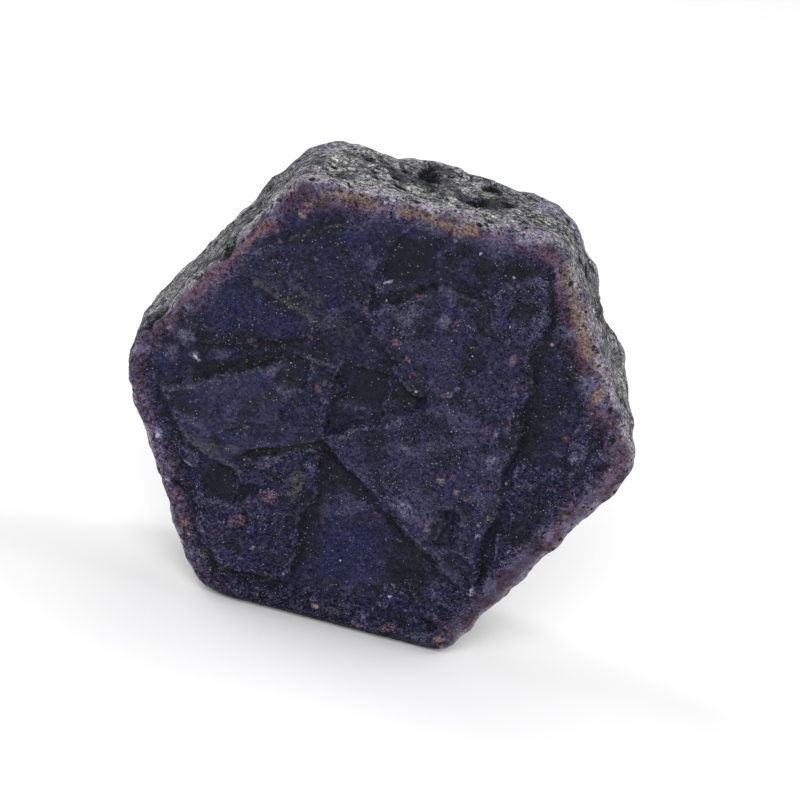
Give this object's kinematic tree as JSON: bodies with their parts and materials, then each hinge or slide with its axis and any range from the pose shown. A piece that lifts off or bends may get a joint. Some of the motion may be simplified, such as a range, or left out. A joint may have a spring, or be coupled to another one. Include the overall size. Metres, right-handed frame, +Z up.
{
  "type": "rough sapphire crystal",
  "caption": "Rough six-sided tabular sapphire crystal, dark indigo, with triangular growth plates, worn rims and a pitted crust; stands on a prism side.",
  "frame": {"origin": "bottom centre of the crystal's box, at the height of the prism side that it rests on", "axes": "+Z up; X across the broad hexagonal faces; Y along the crystal's six-fold axis, with the face that has the large growth plates looking along -Y"},
  "size_m": [0.056, 0.0208, 0.0498],
  "materials": {
    "corundum": "rough natural crystal faces with a mica crust on the prism sides"
  },
  "bodies": {
    "root": {"sapphire_crystal": "corundum"}
  },
  "joints": []
}
